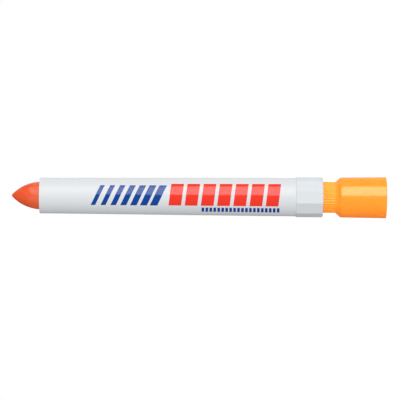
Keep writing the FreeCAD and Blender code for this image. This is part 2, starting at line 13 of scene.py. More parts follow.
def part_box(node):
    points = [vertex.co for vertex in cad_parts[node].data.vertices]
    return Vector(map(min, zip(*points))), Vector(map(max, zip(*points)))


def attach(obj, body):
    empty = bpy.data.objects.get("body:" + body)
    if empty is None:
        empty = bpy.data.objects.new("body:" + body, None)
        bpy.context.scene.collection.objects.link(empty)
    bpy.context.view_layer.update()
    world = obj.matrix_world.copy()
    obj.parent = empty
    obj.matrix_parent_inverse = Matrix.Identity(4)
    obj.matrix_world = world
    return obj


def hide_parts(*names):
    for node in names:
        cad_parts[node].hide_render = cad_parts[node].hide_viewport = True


# Looks of a twist-up solid paint marker, which stands on the open rim of its knob with the paint tip up.
# Sizes in the classes are millimetres; meshes, lights and the camera are metres.
# The side that faces -Y carries the print: bars, blocks and a rule of plain colour.

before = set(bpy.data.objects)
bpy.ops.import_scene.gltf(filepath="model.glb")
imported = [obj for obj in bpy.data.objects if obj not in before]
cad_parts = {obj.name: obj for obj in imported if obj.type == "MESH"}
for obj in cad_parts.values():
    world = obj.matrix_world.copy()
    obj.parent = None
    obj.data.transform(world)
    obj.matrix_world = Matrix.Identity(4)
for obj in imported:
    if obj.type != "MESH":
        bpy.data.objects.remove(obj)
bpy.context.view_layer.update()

LOG = logging.getLogger("paint_marker")
BAKE_MAP = "OFBake"
MM = 0.001
FULL_TURN = 2 * math.pi
SAME_PLACE = 1e-4  # millimetres: points closer than this are one
ANGLE_DIGITS = 5  # decimals at which two directions are one
TINY = 1e-6  # the least number that isn't taken as zero

Piece = bpy.types.Object
Socket = bpy.types.NodeSocket
Colour = tuple[float, float, float]
ColourSource = Union[Colour, Socket]
Number = Union[float, "Signal"]
RadiusRule = Callable[[np.ndarray, np.ndarray], np.ndarray]


class Outline(Enum):
    """What a level of a turned piece looks like from its end."""

    ROUND = 0
    FLATS = 1
    RIBS = 2
    KEYWAYS = 3
    HEXAGON = 4


class Ends(Enum):
    """How the rows of a turned surface end: in a loop back to the first row, or in a pole at each end."""

    LOOP = "loop"
    POLES = "poles"


class Gloss(Enum):
    """Roughness of each kind of surface, before its noise is added."""

    WET = 0.21
    WAXY = 0.31
    SATIN = 0.34
    DULL = 0.55
    RUBBERY = 0.72


@dataclass(frozen=True)
class Corner:
    """A corner of a half section: its radius and height, how far it is rounded, and its outline."""

    radius: float
    height: float
    rounding: float = 0.0
    outline: Outline = Outline.ROUND


@dataclass(frozen=True)
class Extent:
    """Lowest and highest level of a CAD piece, in millimetres."""

    low: float
    high: float

    @classmethod
    def of(cls, node: str) -> "Extent":
        """Returns the levels of a node of the frame."""
        low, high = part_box(node)
        return cls(low.z / MM, high.z / MM)


@dataclass(frozen=True)
class Section:
    """A traced half section: radius, height and outline of each of its points."""

    radius: np.ndarray
    height: np.ndarray
    outline: np.ndarray

    def length_along(self) -> np.ndarray:
        """Returns the distance walked from the first point to each point, and back to the first."""
        across = np.diff(self.radius, append=self.radius[0])
        up = np.diff(self.height, append=self.height[0])
        return np.concatenate([[0.0], np.cumsum(np.hypot(across, up))])


class Tracer:
    """Walks round the corners of a half section and rounds them off.

    At a corner P with a turn t between the edges, the arc of radius q starts q tan(t / 2) before P.
    Its centre lies q to the inner side of that start. A point on each side of the arc, or of a sharp
    corner, keeps the flat stretches flat in the shading. It lies HOLD millimetres away, or HOLD_SHARE
    of the stretch if that is less. Long stretches are divided evenly.
    """

    ARC_STEPS = 6
    HOLD = 0.12
    HOLD_SHARE = 0.3

    def __init__(self, longest: float = 4.0) -> None:
        """Takes the longest straight stretch without a point, in millimetres."""
        self.longest = longest

    def trace(self, corners: Sequence[Corner], closed: bool = True) -> Section:
        """Traces the section and returns it.

        Args:
            corners: The corners in order, outer side upwards.
            closed: Whether the last corner leads back to the first.
        """
        spots = np.array([(corner.radius, corner.height) for corner in corners])
        count = len(corners)
        pieces = []
        for index, corner in enumerate(corners):
            if closed or 0 < index < count - 1:
                after = spots[(index + 1) % count]
                pieces.append(self._round_off(spots[index - 1], spots[index], after, corner.rounding))
            else:
                pieces.append(spots[index : index + 1])
        outlines = [np.full(len(piece), corner.outline.value) for piece, corner in zip(pieces, corners)]
        points, kinds = np.concatenate(pieces), np.concatenate(outlines)
        return self._divide(points, kinds, closed)

    def _round_off(self, before: np.ndarray, spot: np.ndarray, after: np.ndarray,
                   rounding: float) -> np.ndarray:
        """Returns the corner at spot, or its arc, with a holding point on each side."""
        first, second = spot - before, after - spot
        run_in, run_out = np.hypot(*first), np.hypot(*second)
        first, second = first / run_in, second / run_out
        turn = math.atan2(first[0] * second[1] - first[1] * second[0], first @ second)
        reach = rounding * abs(math.tan(turn / 2))
        arc = spot[None, :]
        if reach > TINY:
            side = math.copysign(1.0, turn) * np.array([-first[1], first[0]])
            centre = spot - first * reach + side * rounding
            angle = np.linspace(0, abs(turn), self.ARC_STEPS + 1)[:, None]
            arc = centre + rounding * (first * np.sin(angle) - side * np.cos(angle))
        hold_in = min(self.HOLD, self.HOLD_SHARE * max(run_in - reach, 0.0))
        hold_out = min(self.HOLD, self.HOLD_SHARE * max(run_out - reach, 0.0))
        return np.concatenate([arc[:1] - first * hold_in, arc, arc[-1:] + second * hold_out])

    def _divide(self, points: np.ndarray, kinds: np.ndarray, closed: bool) -> Section:
        """Returns the section, its long stretches divided by points with the outline of the one before."""
        following = np.roll(points, -1, axis=0) if closed else points[1:]
        starts = points if closed else points[:-1]
        steps = np.maximum(1, np.ceil(np.hypot(*(following - starts).T) / self.longest)).astype(int)
        owner = np.repeat(np.arange(len(starts)), steps)
        share = (np.arange(len(owner)) - np.repeat(np.cumsum(steps) - steps, steps)) / steps[owner]
        divided = starts[owner] + (following - starts)[owner] * share[:, None]
        outline = kinds[: len(starts)][owner]
        if not closed:
            divided = np.concatenate([divided, points[-1:]])
            outline = np.append(outline, kinds[-1])
        return Section(divided[:, 0], divided[:, 1], outline)


def polygon_radius(angles: np.ndarray, sides: int, apothem: np.ndarray, rounding: np.ndarray) -> np.ndarray:
    """Distance from the centre to a regular polygon with rounded corners, one corner on +X.

    On a flat it is the apothem over the cosine of the angle from the flat's middle. Near a corner it is
    the far root for a circle of the rounding's radius, whose centre lies on the corner's own ray.

    Args:
        angles: Directions in radians.
        sides: Number of flats.
        apothem: Distance of the flats, broadcast against the angles.
        rounding: Radius of the corners, broadcast likewise.

    Returns:
        The radius for each level and direction.
    """
    half = math.pi / sides
    from_corner = (angles + half) % (2 * half) - half
    flat = apothem / np.cos(half - np.abs(from_corner))
    centre = (apothem - rounding) / math.cos(half)
    inside = np.maximum(rounding**2 - (centre * np.sin(from_corner)) ** 2, 0.0)
    arc = centre * np.cos(from_corner) + np.sqrt(inside)
    on_arc = np.abs(np.sin(from_corner)) * flat < rounding * math.sin(half)
    return np.where(on_arc, arc, flat)


def columns(step: float, breaks: Sequence[np.ndarray] = ()) -> np.ndarray:
    """Directions round the axis, evenly spaced, with every break of the outline among them.

    Args:
        step: Largest angle between two directions, in radians.
        breaks: Arrays of directions at which the outline bends.

    Returns:
        Rising directions from 0 to just under a full turn.
    """
    even = np.linspace(0, FULL_TURN, math.ceil(FULL_TURN / step), endpoint=False)
    found = np.concatenate([even, *breaks]) % FULL_TURN
    return np.unique(np.round(found, ANGLE_DIGITS))


def into_scene(name: str, data: bpy.types.ID) -> bpy.types.Object:
    """Returns a new object at the origin of the scene, which shows a mesh, a light or a camera."""
    made = bpy.data.objects.new(name, data)
    bpy.context.scene.collection.objects.link(made)
    return made


def add_surface(name: str, rows: np.ndarray, along: np.ndarray, angles: np.ndarray,
                ends: Ends) -> Piece:
    """Puts a turned surface into the scene, closed all round and with a map, and returns it.

    Point (i, j) of the grid lies on row i, level by level up the outside, and in direction j, round the
    axis. A face joins (i, j), (i, j + 1), (i + 1, j + 1) and (i + 1, j), so it faces away from the solid.

    Args:
        name: Name of the piece.
        rows: Points in metres, of shape (rows, directions, 3); a pole's row holds one point many times.
        along: Distance along the section of each row, and of its end, for the map.
        angles: The directions.
        ends: Whether the rows close in a loop or in two poles.
    """
    row_count, column_count = rows.shape[:2]
    last = row_count if ends is Ends.LOOP else row_count - 1
    i, j = (grid.ravel() for grid in np.meshgrid(np.arange(last), np.arange(column_count), indexing="ij"))
    corner_rows = np.stack([i, i, i + 1, i + 1], axis=1)
    corner_columns = np.stack([j, j + 1, j + 1, j], axis=1)
    faces = (corner_rows % row_count) * column_count + corner_columns % column_count
    around = np.append(angles, angles[0] + FULL_TURN) / FULL_TURN
    places = np.stack([around[corner_columns] - around[0], along[corner_rows] / along[last]], axis=2)
    points = rows.reshape(-1, 3)
    mesh = bpy.data.meshes.new(name)
    mesh.from_pydata(points.tolist(), [], faces.tolist())
    layer = mesh.uv_layers.new(name=BAKE_MAP)
    layer.data.foreach_set("uv", places.astype(np.float32).ravel())
    mesh.polygons.foreach_set("use_smooth", np.ones(len(faces), dtype=bool))
    mesh.update()
    if ends is Ends.POLES:
        close_poles(mesh)
    return into_scene(name, mesh)


def close_poles(mesh: bpy.types.Mesh) -> None:
    """Merges the points that a pole's row holds in one place, which leaves a fan of triangles there."""
    work = bmesh.new()
    work.from_mesh(mesh)
    bmesh.ops.remove_doubles(work, verts=work.verts[:], dist=SAME_PLACE * MM)
    work.to_mesh(mesh)
    work.free()
    mesh.update()


def turn_piece(name: str, section: Section, angles: np.ndarray, rules: dict[Outline, RadiusRule],
               ends: Ends = Ends.LOOP, relief: Optional[RadiusRule] = None) -> Piece:
    """Turns a section round Z, each level by the rule of its own outline, and returns the piece.

    The point of level i in direction a is (r cos a, r sin a, height), where r is the level's own radius
    or what its rule makes of that radius and a, plus the relief.

    Args:
        name: Name of the piece.
        section: The half section.
        angles: Directions round the axis.
        rules: For each outline but the round one, a function of radii (a column) and angles (a row).
        ends: How the section closes.
        relief: Radial change as a function of heights (a column) and angles (a row).
    """
    radius = np.repeat(section.radius[:, None], len(angles), axis=1)
    for outline, rule in rules.items():
        held = section.outline == outline.value
        radius[held] = rule(section.radius[held][:, None], angles[None, :])
    if relief is not None:
        radius = radius + relief(section.height[:, None], angles[None, :]) * (radius > 0)
    height = np.repeat(section.height[:, None], len(angles), axis=1)
    rows = np.stack([radius * np.cos(angles), radius * np.sin(angles), height], axis=2) * MM
    return add_surface(name, rows, section.length_along(), angles, ends)


def math_method(operation: str, turned: bool = False) -> Callable[..., "Signal"]:
    """Makes a method of Signal that adds one Math node.

    Args:
        operation: Blender's name of the node's operation.
        turned: Whether the signal itself comes last, as when it is taken from a number.

    Returns:
        The method, which takes the operation's other values.
    """

    def method(signal: "Signal", *others: Number) -> "Signal":
        """Adds the node on the signal and the other values."""
        values = (*others, signal) if turned else (signal, *others)
        made = signal.graph.node("ShaderNodeMath", {"operation": operation}, dict(enumerate(values)))
        return Signal(signal.graph, made.outputs[0])

    return method


class Signal:
    """A number that changes over a surface: a node's output that Python's operators work on.

    floor is its whole part, least and most are the smaller and the larger of two, and angle_from is the
    angle of the point with this height over that run.
    """

    def __init__(self, graph: "Graph", socket: Socket) -> None:
        """Holds the output and the graph that it belongs to."""
        self.graph = graph
        self.socket = socket

    __add__ = __radd__ = math_method("ADD")
    __sub__ = math_method("SUBTRACT")
    __rsub__ = math_method("SUBTRACT", turned=True)
    __mul__ = __rmul__ = math_method("MULTIPLY")
    __truediv__ = math_method("DIVIDE")
    __abs__ = math_method("ABSOLUTE")
    __pow__ = math_method("POWER")
    floor = math_method("FLOOR")
    least = math_method("MINIMUM")
    most = math_method("MAXIMUM")
    angle_from = math_method("ARCTAN2")

    def clamp(self, low: float = 0.0, high: float = 1.0) -> "Signal":
        """Returns the signal held between two numbers."""
        return self.most(low).least(high)


class Graph:
    """A node tree that is written from Python, with one method that makes its nodes."""

    def __init__(self, tree: bpy.types.NodeTree) -> None:
        """Starts from an empty tree."""
        self.tree = tree
        tree.nodes.clear()

    def node(self, kind: str, settings: Optional[dict] = None,
             inputs: Optional[dict] = None) -> bpy.types.Node:
        """Makes one node and returns it.

        Args:
            kind: Blender's name of the node's type.
            settings: Properties to set first, such as a Math node's operation.
            inputs: Values or links of sockets, by name or number.
        """
        made = self.tree.nodes.new(kind)
        for name, value in (settings or {}).items():
            setattr(made, name, value)
        for name, value in (inputs or {}).items():
            socket = made.inputs[name]
            source = value.socket if isinstance(value, Signal) else value
            if isinstance(source, Socket):
                self.tree.links.new(source, socket)
            else:
                socket.default_value = source
        return made

    def place(self) -> Socket:
        """Returns the object coordinates, in metres."""
        return self.node("ShaderNodeTexCoord").outputs["Object"]

    def split(self, vector: Socket) -> tuple[Signal, Signal, Signal]:
        """Returns the three numbers of a vector."""
        parts = self.node("ShaderNodeSeparateXYZ", inputs={0: vector}).outputs
        return Signal(self, parts[0]), Signal(self, parts[1]), Signal(self, parts[2])

    def noise(self, size: float, stretch: Colour = (1.0, 1.0, 1.0), detail: float = 2.0,
              shift: Colour = (0.0, 0.0, 0.0)) -> Signal:
        """Returns soft noise about zero, from -0.5 to 0.5.

        Args:
            size: Size of its patches in millimetres.
            stretch: Factor on the coordinates for each axis; below 1 makes patches longer.
            detail: Octaves of finer noise.
            shift: Offset in millimetres, so that two noises of one size differ.
        """
        offset = tuple(MM * value for value in shift)
        places = {0: self.place(), "Location": offset, "Scale": stretch}
        mapped = self.node("ShaderNodeMapping", inputs=places).outputs[0]
        inputs = {"Vector": mapped, "Scale": 1 / (size * MM), "Detail": detail}
        return Signal(self, self.node("ShaderNodeTexNoise", inputs=inputs).outputs[0]) - 0.5

    def mix(self, share: Number, first: ColourSource, second: ColourSource) -> Socket:
        """Returns a mix of two colours, given or linked, with this share of the second one."""
        settings = {"data_type": "RGBA", "clamp_factor": True}
        full = [(*c, 1.0) if isinstance(c, tuple) else c for c in (first, second)]
        return self.node("ShaderNodeMix", settings, {0: share, 6: full[0], 7: full[1]}).outputs[2]

    def bump(self, height: Signal) -> Socket:
        """Returns the normal for a height in millimetres."""
        return self.node("ShaderNodeBump", inputs={"Height": height, "Distance": MM}).outputs[0]

    def principled(self, inputs: dict) -> Socket:
        """Returns a surface of Blender's general kind, with the given sockets set."""
        return self.node("ShaderNodeBsdfPrincipled", inputs=inputs).outputs[0]

    def finish(self, surface: Socket, output: str = "ShaderNodeOutputMaterial") -> None:
        """Links the surface to the tree's output."""
        self.node(output, inputs={"Surface": surface})


def new_material(name: str) -> tuple[bpy.types.Material, Graph]:
    """Returns a new material with an empty tree, and the graph that writes it."""
    material = bpy.data.materials.new(name)
    material.use_nodes = True
    return material, Graph(material.node_tree)


@dataclass(frozen=True)
class Bars:
    """A row of bars along the barrel, from the tip's end on, each one wider by the growth than the last.

    Lengths are millimetres. first is the height of the first bar's middle, and bottom and top are arcs
    from the middle of the printed side. slant is the fall along the axis for each millimetre of arc.
    """

    ink: Colour
    first: float
    pitch: float
    count: int
    width: float
    growth: float
    bottom: float
    top: float
    slant: float = 0.45
    softness: float = 0.07

    def cover(self, along: Signal, across: Signal) -> Signal:
        """How far a point is covered with ink.

        The nearest bar's number is the whole part of the distance from the first one in pitches, held
        between the first bar and the last. The cover rises from 0 to 1 over the softness at its edges.

        Args:
            along: Height along the axis in millimetres.
            across: Arc from the middle of the printed side in millimetres.

        Returns:
            The cover, from 0 to 1.
        """
        run = (self.first - self.slant * across - along) / self.pitch + 0.5
        number = run.floor().clamp(0.0, self.count - 1.0)
        from_middle = abs(run - number - 0.5) * self.pitch
        beside = (number * self.growth + self.width) / 2 - from_middle
        between = (self.top - across).least(across - self.bottom)
        return (beside.least(between) / self.softness + 0.5).clamp()


@dataclass(frozen=True)
class Moulding:
    """A moulded plastic: its colour, its gloss, and what the mould left on it.

    grain, wave, drag and ink_height are heights in millimetres, glow_depth is a depth in millimetres,
    and print_radius and the radius below which the plastic turns matt are radii in millimetres. Below
    that radius the colour is also painted paler, a painted light. refraction is the refractive index,
    and the emission's strength is that of a painted glow of the plastic's hue, which lifts its shade.
    The values whose names end in rough are changes of roughness, and the others are shares.
    """

    name: str
    colour: Colour
    deep: Colour
    gloss: Gloss
    deep_share: float = 0.2
    mottle: float = 0.25
    mottle_rough: float = 0.05
    grain: float = 0.0016
    wave: float = 0.010
    drag: float = 0.0012
    drag_rough: float = 0.05
    glow: float = 0.0
    glow_reach: Colour = (1.0, 1.0, 1.0)
    glow_depth: float = 1.0
    refraction: float = 1.5
    painted_glow: float = 0.0
    painted_glow_hue: Colour = (1.0, 0.0, 0.0)
    matt_and_lightened_below: float = 0.0
    painted_light_colour: Colour = (0.8, 0.8, 0.8)
    painted_light_share: float = 0.8
    matt_rough: float = 0.17
    gleam: Colour = (1.0, 1.0, 1.0)
    bars: tuple[Bars, ...] = ()
    print_radius: float = 8.0
    ink_height: float = 0.006
    ink_rough: float = -0.19
    ink_strength: float = 1.02
    ink_mottle: float = 0.1

    def material(self) -> bpy.types.Material:
        """Returns the plastic's material.

        Broad noise mottles the colour, the height of a grain, a slow wave and lengthwise drag marks go
        into the bump, and ink lies on top as a thin, glossier layer. An emission of the plastic's hue is a
        painted glow that lifts its shade, and below the matt radius, where one is given, the colour is
        painted paler and yellower: painted light that makes up for the shade between the ribs.
        """
        material, graph = new_material(self.name)
        cloud = graph.noise(size=5.0, detail=3.0)
        grain = graph.noise(size=0.35)
        drag = graph.noise(size=0.5, stretch=(1.0, 1.0, 0.04), shift=(3.0, 1.0, 7.0))
        wave = graph.noise(size=9.0, shift=(11.0, 5.0, 2.0))
        colour = graph.mix((cloud * self.mottle + self.deep_share).clamp(), self.colour, self.deep)
        rough = cloud * self.mottle_rough + drag * self.drag_rough + self.gloss.value
        # Below the radius the plastic is rougher, and its colour is painted paler and yellower: painted
        # light that makes up for the shade between the ribs.
        if self.matt_and_lightened_below:
            matt_and_lightened = self._matt_and_lightened_mask(graph)
            rough = rough + matt_and_lightened * self.matt_rough
            colour = graph.mix(matt_and_lightened * self.painted_light_share, colour, self.painted_light_colour)
        height = grain * self.grain + wave * self.wave + drag * self.drag
        if self.bars:
            colour, cover = self._printed(graph, colour)
            rough = rough + cover * self.ink_rough
            height = height + cover * self.ink_height
        inputs = {
            "Base Color": colour,
            "Roughness": rough,
            "Normal": graph.bump(height),
            "IOR": self.refraction,
            "Specular Tint": (*self.gleam, 1.0),
            "Subsurface Weight": self.glow,
            "Subsurface Radius": self.glow_reach,
            "Subsurface Scale": self.glow_depth * MM,
            # Painted glow: an emission of the plastic's own hue that lifts its shade.
            "Emission Color": (*self.painted_glow_hue, 1.0),
            "Emission Strength": self.painted_glow,
        }
        graph.finish(graph.principled(inputs))
        return material

    def _matt_and_lightened_mask(self, graph: Graph) -> Signal:
        """Returns a signal from 0 to 1 that rises over the millimetre below the matt radius, where the
        colour is also painted paler.
        """
        x, y, _ = graph.split(graph.place())
        radius = (x * x + y * y) ** 0.5 / MM
        return (self.matt_and_lightened_below - radius).clamp()

    def _printed(self, graph: Graph, colour: Socket) -> tuple[Socket, Signal]:
        """Returns the plastic's colour with the bars laid over it, and the ink's cover from 0 to 1."""
        x, y, z = graph.split(graph.place())
        along = z / MM
        across = x.angle_from(0.0 - y) * self.print_radius
        ink_grain = graph.noise(size=0.6, detail=4.0, shift=(2.0, 9.0, 4.0))
        total: Number = 0.0
        for bars in self.bars:
            cover = bars.cover(along, across) * (self.ink_strength + ink_grain * self.ink_mottle).clamp()
            colour = graph.mix(cover, colour, bars.ink)
            total = cover + total
        return colour, total.clamp()


@dataclass(frozen=True)
class SolidPaint:
    """Solid paint: a stick of dried paint and wax, rubbed and slightly pitted.

    Back from a height near the tip, given in metres, the colour is painted paler over the length fade,
    in metres: a painted highlight towards the mouth. Names that end in depth are millimetres, those that
    end in rough are changes of roughness, refraction is the refractive index, and the others are shares.
    """

    name: str = "solid paint"
    colour: Colour = (0.90, 0.098, 0.014)
    # The pale colour serves the rubbed patches and also the painted highlight back from the tip.
    rubbed: Colour = (0.92, 0.175, 0.066)
    # Colour of the painted shade in the dents.
    deep: Colour = (0.80, 0.060, 0.014)
    # Height from which the highlight is painted, growing paler back from the tip.
    painted_highlight_from: float = 0.157
    fade: float = 0.009
    patch_share: float = 2.0
    streak_share: float = 0.8
    painted_highlight_share: float = 0.75
    pit_share: float = 0.8
    pale_start: float = -0.05
    pale_most: float = 0.8
    dent_shade_start: float = 0.15
    dent_shade_most: float = 0.5
    patch_rough: float = 0.14
    pit_rough: float = 0.12
    patch_depth: float = 0.05
    streak_depth: float = 0.012
    pit_depth: float = 0.022
    refraction: float = 1.5
    glow: float = 0.25
    glow_reach: Colour = (1.0, 0.25, 0.1)
    glow_depth: float = 0.9

    def material(self) -> bpy.types.Material:
        """Returns the paint's material: pale rubbed patches, a painted highlight, painted shade in the
        dents, and pits and streaks.

        Patches, streaks and the painted highlight back from the tip are added up, each in its share, for
        the pale colour, and the negative of patches and pits, where the surface lies low, for the dark one:
        a painted shade.
        """
        material, graph = new_material(self.name)
        _, _, height = graph.split(graph.place())
        # Painted highlight: the colour grows paler back from the tip towards the mouth.
        painted_highlight = ((self.painted_highlight_from - height) / self.fade).clamp()
        patches = graph.noise(size=2.6, detail=4.0, stretch=(1.0, 1.0, 0.6))
        streaks = graph.noise(size=0.7, stretch=(1.0, 1.0, 0.12), shift=(5.0, 2.0, 0.0))
        pits = graph.noise(size=0.45, detail=3.0, shift=(1.0, 8.0, 3.0))
        # Patches and streaks stand for rubbing; the painted highlight is added to them.
        worn = patches * self.patch_share + streaks * self.streak_share + painted_highlight * self.painted_highlight_share
        pale = graph.mix((worn + self.pale_start).clamp() * self.pale_most, self.colour, self.rubbed)
        # Painted shade: darker where patches and pits lie low, in the dents.
        deep = (self.dent_shade_start - patches * self.patch_share - pits * self.pit_share).clamp()
        height = pits * self.pit_depth + streaks * self.streak_depth + patches * self.patch_depth
        inputs = {
            "Base Color": graph.mix(deep * self.dent_shade_most, pale, self.deep),
            "Roughness": patches * self.patch_rough + pits * self.pit_rough + Gloss.WAXY.value,
            "Normal": graph.bump(height),
            "IOR": self.refraction,
            "Subsurface Weight": self.glow,
            "Subsurface Radius": self.glow_reach,
            "Subsurface Scale": self.glow_depth * MM,
        }
        graph.finish(graph.principled(inputs))
        return material


@dataclass(frozen=True)
class Rubber:
    """Black sealing rubber with a fine dull bloom."""

    name: str = "seal rubber"
    colour: Colour = (0.018, 0.018, 0.02)
    bloom: Colour = (0.05, 0.05, 0.052)
    bloom_share: float = 0.4
    bloom_rough: float = 0.12
    bloom_height: float = 0.004

    def material(self) -> bpy.types.Material:
        """Returns the rubber's material."""
        material, graph = new_material(self.name)
        dust = graph.noise(size=0.4, detail=3.0)
        inputs = {
            "Base Color": graph.mix((dust + self.bloom_share).clamp(), self.colour, self.bloom),
            "Roughness": dust * self.bloom_rough + Gloss.RUBBERY.value,
            "Normal": graph.bump(dust * self.bloom_height),
        }
        graph.finish(graph.principled(inputs))
        return material


BLUE_INK = (0.001, 0.056, 0.31)
RED_INK = (0.92, 0.038, 0.018)

PRINT = (
    Bars(BLUE_INK, first=123.4, pitch=4.3, count=7, width=1.9, growth=0.22, bottom=-4.2, top=5.0),
    Bars(RED_INK, first=89.9, pitch=6.9, count=7, width=5.4, growth=0.0, bottom=-4.1, top=5.9, slant=0.12),
    Bars(BLUE_INK, first=78.4, pitch=1.69, count=20, width=1.12, growth=0.0, bottom=-7.5, top=-5.0,
         slant=0.0),
)

BARREL_WHITE = Moulding(
    name="barrel plastic",
    colour=(0.748, 0.77, 0.793),
    deep=(0.718, 0.741, 0.768),
    gloss=Gloss.SATIN,
    refraction=1.4,
    glow=0.08,
    glow_depth=0.6,
    bars=PRINT,
)
COLLAR_WHITE = replace(
    BARREL_WHITE,
    name="collar plastic",
    colour=(0.735, 0.77, 0.797),
    deep=(0.705, 0.741, 0.768),
    bars=(),
)
# The knob's emission is a painted glow that lifts its shade, and on the neck and inside its colour is
# painted paler and yellower.
KNOB_ORANGE = Moulding(
    name="knob plastic",
    colour=(0.88, 0.42, 0.028),
    deep=(0.86, 0.385, 0.022),
    gloss=Gloss.WET,
    refraction=1.64,
    gleam=(1.0, 0.98, 0.74),
    painted_glow=0.34,
    matt_and_lightened_below=7.6,
    painted_light_colour=(0.88, 0.5, 0.022),
    glow=0.45,
    glow_reach=(1.0, 0.1, 0.03),
    glow_depth=3.0,
)
INNER_PALE = Moulding(
    name="inner plastic",
    colour=(0.68, 0.68, 0.65),
    deep=(0.62, 0.62, 0.59),
    gloss=Gloss.DULL,
    glow=0.1,
)


def put_on(piece: Piece, material: bpy.types.Material) -> None:
    """Gives a new piece or a CAD node one material in all its slots."""
    if not piece.material_slots:
        piece.data.materials.append(material)
    for slot in piece.material_slots:
        slot.material = material


@dataclass
class Barrel:
    """The tapered tube, with a straight seat for a cap, a seat for the collar's plug, and keyways.

    column is the angle between two columns of the mesh in degrees, here and in the other classes, and
    step is the height over which one outline passes into the next.
    """

    rear_radius: float = 8.25
    front_radius: float = 7.65
    bore: float = 6.2
    cap_seat: float = 8.5
    plug_radius: float = 6.85
    plug_length: float = 5.0
    mouth_round: float = 0.15
    mouth_bevel: float = 0.3
    bevel_round: float = 0.08
    rear_break: float = 0.14
    keyways: int = 2
    keyway_depth: float = 6.95
    keyway_half: float = 1.1
    key_run: float = 30.3
    step: float = 0.02
    column: float = 2.0

    def corners(self) -> list[Corner]:
        """Returns the half section's corners, up the outside and down the bore.

        The keyways run from the plug's front face to just past the nut's foremost place.
        """
        extent = Extent.of("barrel")
        plug_front = extent.low + self.plug_length
        keyway_front = Extent.of("drive_nut").low + self.key_run
        return [
            Corner(self.rear_radius, extent.low, self.rear_break),
            Corner(self.front_radius, extent.high - self.cap_seat),
            Corner(self.front_radius, extent.high, self.mouth_round),
            Corner(self.bore + self.mouth_bevel, extent.high, self.bevel_round),
            Corner(self.bore, extent.high - self.mouth_bevel, self.bevel_round),
            Corner(self.bore, keyway_front),
            Corner(self.bore, keyway_front - self.step, outline=Outline.KEYWAYS),
            Corner(self.bore, plug_front + self.step, outline=Outline.KEYWAYS),
            Corner(self.plug_radius, plug_front),
            Corner(self.plug_radius, extent.low),
        ]

    def keyed(self, radius: np.ndarray, angles: np.ndarray) -> np.ndarray:
        """Radius of the bore with its keyways.

        From a keyway's middle, the floor is its depth over the cosine, the side wall is half its width
        over the sine, and past the wall the bore goes on.

        Args:
            radius: Radius of the bare bore at each level.
            angles: The directions.

        Returns:
            The radius for each level and direction.
        """
        period = FULL_TURN / self.keyways
        off = np.abs((angles + period / 2) % period - period / 2)
        floor = self.keyway_depth / np.cos(off)
        wall = self.keyway_half / np.maximum(np.sin(off), TINY)
        return np.maximum(radius, np.where(off < math.pi / 4, np.minimum(floor, wall), 0.0))

    def build(self) -> Piece:
        """Makes the barrel in place of its CAD node and returns it."""
        edge = math.atan(self.keyway_half / self.keyway_depth)
        mouth = math.asin(self.keyway_half / self.bore)
        middles = np.arange(self.keyways) * FULL_TURN / self.keyways
        breaks = [middles + side * angle for side in (-1, 1) for angle in (edge, mouth)]
        section = Tracer().trace(self.corners())
        angles = columns(math.radians(self.column), breaks)
        piece = turn_piece("barrel_moulding", section, angles, {Outline.KEYWAYS: self.keyed})
        put_on(piece, BARREL_WHITE.material())
        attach(piece, "barrel")
        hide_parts("barrel")
        return piece


@dataclass
class Collar:
    """The collar with its flats, the plug in the barrel, the journal's bore and the neck's recess."""

    flats: int = 10
    corner_radius: float = 8.625
    corner_round: float = 0.5
    least_corner: float = 0.05
    rear_bevel: float = 0.35
    rear_round: float = 0.08
    bevel_round: float = 0.12
    front_break: float = 0.14
    edge_round: float = 0.1
    step_round: float = 0.05
    plug_radius: float = 6.85
    plug_length: float = 5.0
    bore: float = 4.98
    recess_radius: float = 6.85
    recess_depth: float = 2.2
    column: float = 4.5
    corner_columns: tuple[float, ...] = (0.0, 0.25, 0.5, 0.75, 1.0, 1.5, 2.0)

    @property
    def apothem(self) -> float:
        """Returns the distance of the flats from the axis."""
        return self.corner_radius * math.cos(math.pi / self.flats)

    def corners(self) -> list[Corner]:
        """Returns the half section's corners, up the flats and down the bore."""
        extent = Extent.of("collar")
        front = extent.high - self.plug_length
        recess_floor = extent.low + self.recess_depth
        return [
            Corner(self.apothem - self.rear_bevel, extent.low, self.rear_round, Outline.FLATS),
            Corner(self.apothem, extent.low + self.rear_bevel, self.bevel_round, Outline.FLATS),
            Corner(self.apothem, front, self.front_break, Outline.FLATS),
            Corner(self.plug_radius, front),
            Corner(self.plug_radius, extent.high, self.edge_round),
            Corner(self.bore, extent.high, self.edge_round),
            Corner(self.bore, recess_floor, self.step_round),
            Corner(self.recess_radius, recess_floor),
            Corner(self.recess_radius, extent.low, self.edge_round),
        ]

    def faceted(self, radius: np.ndarray, angles: np.ndarray) -> np.ndarray:
        """Returns the flats' radius; the rounding of the corners shrinks with the level's distance."""
        rounding = np.maximum(self.corner_round - (self.apothem - radius), self.least_corner)
        return polygon_radius(angles, self.flats, radius, rounding)

    def build(self) -> Piece:
        """Makes the collar in place of its CAD node and returns it.

        Columns of its own stand to both sides of each corner of the flats, in shares of the angle that
        the corner's rounding takes up.
        """
        reach = self.corner_round * math.sin(math.pi / self.flats) / self.corner_radius
        share = np.array(self.corner_columns)
        offsets = reach * np.concatenate([-share, share])
        vertices = np.arange(self.flats)[:, None] * FULL_TURN / self.flats
        angles = columns(math.radians(self.column), [(vertices + offsets).ravel()])
        section = Tracer().trace(self.corners())
        piece = turn_piece("collar_moulding", section, angles, {Outline.FLATS: self.faceted})
        put_on(piece, COLLAR_WHITE.material())
        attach(piece, "barrel")
        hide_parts("collar")
        return piece


